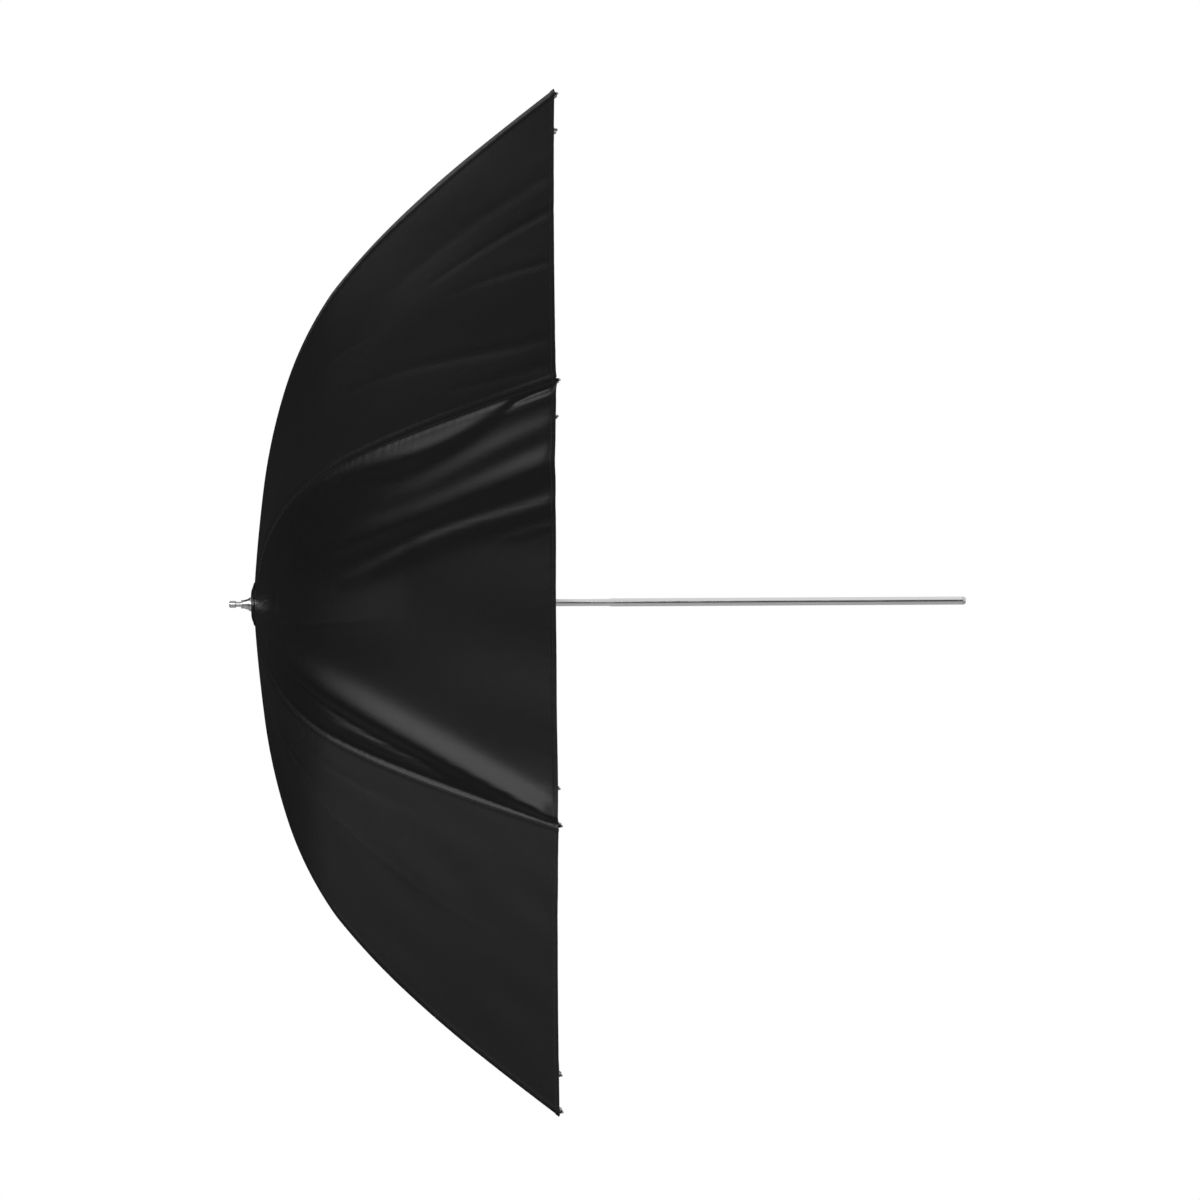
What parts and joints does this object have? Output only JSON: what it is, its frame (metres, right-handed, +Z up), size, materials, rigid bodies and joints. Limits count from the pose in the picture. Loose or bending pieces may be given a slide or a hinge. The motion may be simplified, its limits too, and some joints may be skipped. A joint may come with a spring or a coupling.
{
  "type": "umbrella reflector",
  "caption": "Folding umbrella reflector with a shallow black lined canopy on ribs and stretchers, and a straight bright metal shaft for a lamp bracket.",
  "frame": {"origin": "centre of the shaft where its parallel stretch ends at the free end, before the turned plug", "axes": "+X along the shaft, out of its free end, away from the canopy's apex; +Z up, between two ribs; -Y faces the viewer of the reference view"},
  "size_m": [0.7223, 0.967, 0.967],
  "materials": {
    "canopy_cloth": "satin woven black outside, silver lining",
    "shaft_chrome": "polished",
    "end_plug": "polished, turned",
    "ferrule_metal": "polished, turned",
    "rib_steel": "drawn, bright",
    "steel_wire": "bright wire",
    "steel_pins": "bright",
    "spring_steel": "bright spring strip",
    "black_plastic": "moulded, satin",
    "cast_metal": "die cast, notched"
  },
  "bodies": {
    "root": {"shaft": "shaft_chrome", "shaft_plug": "end_plug", "ferrule": "ferrule_metal", "fabric_cap": "canopy_cloth", "crown": "cast_metal", "crown_wire": "steel_wire", "catch_pin": "steel_pins"},
    "runner": {"runner": "black_plastic", "runner_wire": "steel_wire"},
    "catch": {"catch": "spring_steel"},
    "rib_inner_0": {"rib_inner_0": "rib_steel", "rib_rivet_0": "steel_pins", "gore_inner_0": "canopy_cloth"},
    "rib_outer_0": {"rib_outer_0": "rib_steel", "gore_outer_0": "canopy_cloth"},
    "stretcher_0": {"stretcher_0": "rib_steel"},
    "rib_inner_1": {"rib_inner_1": "rib_steel", "rib_rivet_1": "steel_pins", "gore_inner_1": "canopy_cloth"},
    "rib_outer_1": {"rib_outer_1": "rib_steel", "gore_outer_1": "canopy_cloth"},
    "stretcher_1": {"stretcher_1": "rib_steel"},
    "rib_inner_2": {"rib_inner_2": "rib_steel", "rib_rivet_2": "steel_pins", "gore_inner_2": "canopy_cloth"},
    "rib_outer_2": {"rib_outer_2": "rib_steel", "gore_outer_2": "canopy_cloth"},
    "stretcher_2": {"stretcher_2": "rib_steel"},
    "rib_inner_3": {"rib_inner_3": "rib_steel", "rib_rivet_3": "steel_pins", "gore_inner_3": "canopy_cloth"},
    "rib_outer_3": {"rib_outer_3": "rib_steel", "gore_outer_3": "canopy_cloth"},
    "stretcher_3": {"stretcher_3": "rib_steel"},
    "rib_inner_4": {"rib_inner_4": "rib_steel", "rib_rivet_4": "steel_pins", "gore_inner_4": "canopy_cloth"},
    "rib_outer_4": {"rib_outer_4": "rib_steel", "gore_outer_4": "canopy_cloth"},
    "stretcher_4": {"stretcher_4": "rib_steel"},
    "rib_inner_5": {"rib_inner_5": "rib_steel", "rib_rivet_5": "steel_pins", "gore_inner_5": "canopy_cloth"},
    "rib_outer_5": {"rib_outer_5": "rib_steel", "gore_outer_5": "canopy_cloth"},
    "stretcher_5": {"stretcher_5": "rib_steel"},
    "rib_inner_6": {"rib_inner_6": "rib_steel", "rib_rivet_6": "steel_pins", "gore_inner_6": "canopy_cloth"},
    "rib_outer_6": {"rib_outer_6": "rib_steel", "gore_outer_6": "canopy_cloth"},
    "stretcher_6": {"stretcher_6": "rib_steel"},
    "rib_inner_7": {"rib_inner_7": "rib_steel", "rib_rivet_7": "steel_pins", "gore_inner_7": "canopy_cloth"},
    "rib_outer_7": {"rib_outer_7": "rib_steel", "gore_outer_7": "canopy_cloth"},
    "stretcher_7": {"stretcher_7": "rib_steel"}
  },
  "joints": [
    {"name": "runner_slide", "type": "slide", "parent": "root", "child": "runner", "axis": [1, 0, 0], "range_m": [0, 0.47304]},
    {"name": "catch_press", "type": "hinge", "parent": "root", "child": "catch", "pos_m": [-0.45933, 0, -0.0008], "axis": [0, 1, 0], "range_deg": [0, 6.3], "stiffness_Nm_per_rad": 0.35, "springref_deg": -2.86},
    {"name": "rib_hinge_0", "type": "hinge", "parent": "root", "child": "rib_inner_0", "pos_m": [-0.6883, -0.01109, 0.00459], "axis": [0, 0.3827, 0.9239], "range_deg": [0, 71.12], "deforming": ["gore_inner_0"]},
    {"name": "rib_flex_0", "type": "hinge", "parent": "rib_inner_0", "child": "rib_outer_0", "pos_m": [-0.60621, -0.29625, 0.12271], "axis": [0, 0.3827, 0.9239], "range_deg": [-26.19, 0], "deforming": ["gore_outer_0"]},
    {"name": "stretcher_hinge_0", "type": "hinge", "parent": "rib_inner_0", "child": "stretcher_0", "pos_m": [-0.60621, -0.29625, 0.12271], "axis": [0, 0.3827, 0.9239], "range_deg": [-142.22, 0]},
    {"name": "rib_hinge_1", "type": "hinge", "parent": "root", "child": "rib_inner_1", "pos_m": [-0.6883, -0.00459, 0.01109], "axis": [0, 0.9239, 0.3827], "range_deg": [0, 71.12], "deforming": ["gore_inner_1"]},
    {"name": "rib_flex_1", "type": "hinge", "parent": "rib_inner_1", "child": "rib_outer_1", "pos_m": [-0.60621, -0.12271, 0.29625], "axis": [0, 0.9239, 0.3827], "range_deg": [-26.19, 0], "deforming": ["gore_outer_1"]},
    {"name": "stretcher_hinge_1", "type": "hinge", "parent": "rib_inner_1", "child": "stretcher_1", "pos_m": [-0.60621, -0.12271, 0.29625], "axis": [0, 0.9239, 0.3827], "range_deg": [-142.22, 0]},
    {"name": "rib_hinge_2", "type": "hinge", "parent": "root", "child": "rib_inner_2", "pos_m": [-0.6883, 0.00459, 0.01109], "axis": [0, 0.9239, -0.3827], "range_deg": [0, 71.12], "deforming": ["gore_inner_2"]},
    {"name": "rib_flex_2", "type": "hinge", "parent": "rib_inner_2", "child": "rib_outer_2", "pos_m": [-0.60621, 0.12271, 0.29625], "axis": [0, 0.9239, -0.3827], "range_deg": [-26.19, 0], "deforming": ["gore_outer_2"]},
    {"name": "stretcher_hinge_2", "type": "hinge", "parent": "rib_inner_2", "child": "stretcher_2", "pos_m": [-0.60621, 0.12271, 0.29625], "axis": [0, 0.9239, -0.3827], "range_deg": [-142.22, 0]},
    {"name": "rib_hinge_3", "type": "hinge", "parent": "root", "child": "rib_inner_3", "pos_m": [-0.6883, 0.01109, 0.00459], "axis": [0, 0.3827, -0.9239], "range_deg": [0, 71.12], "deforming": ["gore_inner_3"]},
    {"name": "rib_flex_3", "type": "hinge", "parent": "rib_inner_3", "child": "rib_outer_3", "pos_m": [-0.60621, 0.29625, 0.12271], "axis": [0, 0.3827, -0.9239], "range_deg": [-26.19, 0], "deforming": ["gore_outer_3"]},
    {"name": "stretcher_hinge_3", "type": "hinge", "parent": "rib_inner_3", "child": "stretcher_3", "pos_m": [-0.60621, 0.29625, 0.12271], "axis": [0, 0.3827, -0.9239], "range_deg": [-142.22, 0]},
    {"name": "rib_hinge_4", "type": "hinge", "parent": "root", "child": "rib_inner_4", "pos_m": [-0.6883, 0.01109, -0.00459], "axis": [0, -0.3827, -0.9239], "range_deg": [0, 71.12], "deforming": ["gore_inner_4"]},
    {"name": "rib_flex_4", "type": "hinge", "parent": "rib_inner_4", "child": "rib_outer_4", "pos_m": [-0.60621, 0.29625, -0.12271], "axis": [0, -0.3827, -0.9239], "range_deg": [-26.19, 0], "deforming": ["gore_outer_4"]},
    {"name": "stretcher_hinge_4", "type": "hinge", "parent": "rib_inner_4", "child": "stretcher_4", "pos_m": [-0.60621, 0.29625, -0.12271], "axis": [0, -0.3827, -0.9239], "range_deg": [-142.22, 0]},
    {"name": "rib_hinge_5", "type": "hinge", "parent": "root", "child": "rib_inner_5", "pos_m": [-0.6883, 0.00459, -0.01109], "axis": [0, -0.9239, -0.3827], "range_deg": [0, 71.12], "deforming": ["gore_inner_5"]},
    {"name": "rib_flex_5", "type": "hinge", "parent": "rib_inner_5", "child": "rib_outer_5", "pos_m": [-0.60621, 0.12271, -0.29625], "axis": [0, -0.9239, -0.3827], "range_deg": [-26.19, 0], "deforming": ["gore_outer_5"]},
    {"name": "stretcher_hinge_5", "type": "hinge", "parent": "rib_inner_5", "child": "stretcher_5", "pos_m": [-0.60621, 0.12271, -0.29625], "axis": [0, -0.9239, -0.3827], "range_deg": [-142.22, 0]},
    {"name": "rib_hinge_6", "type": "hinge", "parent": "root", "child": "rib_inner_6", "pos_m": [-0.6883, -0.00459, -0.01109], "axis": [0, -0.9239, 0.3827], "range_deg": [0, 71.12], "deforming": ["gore_inner_6"]},
    {"name": "rib_flex_6", "type": "hinge", "parent": "rib_inner_6", "child": "rib_outer_6", "pos_m": [-0.60621, -0.12271, -0.29625], "axis": [0, -0.9239, 0.3827], "range_deg": [-26.19, 0], "deforming": ["gore_outer_6"]},
    {"name": "stretcher_hinge_6", "type": "hinge", "parent": "rib_inner_6", "child": "stretcher_6", "pos_m": [-0.60621, -0.12271, -0.29625], "axis": [0, -0.9239, 0.3827], "range_deg": [-142.22, 0]},
    {"name": "rib_hinge_7", "type": "hinge", "parent": "root", "child": "rib_inner_7", "pos_m": [-0.6883, -0.01109, -0.00459], "axis": [0, -0.3827, 0.9239], "range_deg": [0, 71.12], "deforming": ["gore_inner_7"]},
    {"name": "rib_flex_7", "type": "hinge", "parent": "rib_inner_7", "child": "rib_outer_7", "pos_m": [-0.60621, -0.29625, -0.12271], "axis": [0, -0.3827, 0.9239], "range_deg": [-26.19, 0], "deforming": ["gore_outer_7"]},
    {"name": "stretcher_hinge_7", "type": "hinge", "parent": "rib_inner_7", "child": "stretcher_7", "pos_m": [-0.60621, -0.29625, -0.12271], "axis": [0, -0.3827, 0.9239], "range_deg": [-142.22, 0]}
  ],
  "couplings": [
    {"joint": "rib_hinge_0", "follows": "runner_slide", "rad_per_m": 2.6236},
    {"joint": "rib_flex_0", "follows": "runner_slide", "rad_per_m": -0.96587},
    {"joint": "stretcher_hinge_0", "follows": "runner_slide", "rad_per_m": -5.2471},
    {"joint": "rib_hinge_1", "follows": "runner_slide", "rad_per_m": 2.6236},
    {"joint": "rib_flex_1", "follows": "runner_slide", "rad_per_m": -0.96587},
    {"joint": "stretcher_hinge_1", "follows": "runner_slide", "rad_per_m": -5.2471},
    {"joint": "rib_hinge_2", "follows": "runner_slide", "rad_per_m": 2.6236},
    {"joint": "rib_flex_2", "follows": "runner_slide", "rad_per_m": -0.96587},
    {"joint": "stretcher_hinge_2", "follows": "runner_slide", "rad_per_m": -5.2471},
    {"joint": "rib_hinge_3", "follows": "runner_slide", "rad_per_m": 2.6236},
    {"joint": "rib_flex_3", "follows": "runner_slide", "rad_per_m": -0.96587},
    {"joint": "stretcher_hinge_3", "follows": "runner_slide", "rad_per_m": -5.2471},
    {"joint": "rib_hinge_4", "follows": "runner_slide", "rad_per_m": 2.6236},
    {"joint": "rib_flex_4", "follows": "runner_slide", "rad_per_m": -0.96587},
    {"joint": "stretcher_hinge_4", "follows": "runner_slide", "rad_per_m": -5.2471},
    {"joint": "rib_hinge_5", "follows": "runner_slide", "rad_per_m": 2.6236},
    {"joint": "rib_flex_5", "follows": "runner_slide", "rad_per_m": -0.96587},
    {"joint": "stretcher_hinge_5", "follows": "runner_slide", "rad_per_m": -5.2471},
    {"joint": "rib_hinge_6", "follows": "runner_slide", "rad_per_m": 2.6236},
    {"joint": "rib_flex_6", "follows": "runner_slide", "rad_per_m": -0.96587},
    {"joint": "stretcher_hinge_6", "follows": "runner_slide", "rad_per_m": -5.2471},
    {"joint": "rib_hinge_7", "follows": "runner_slide", "rad_per_m": 2.6236},
    {"joint": "rib_flex_7", "follows": "runner_slide", "rad_per_m": -0.96587},
    {"joint": "stretcher_hinge_7", "follows": "runner_slide", "rad_per_m": -5.2471}
  ]
}
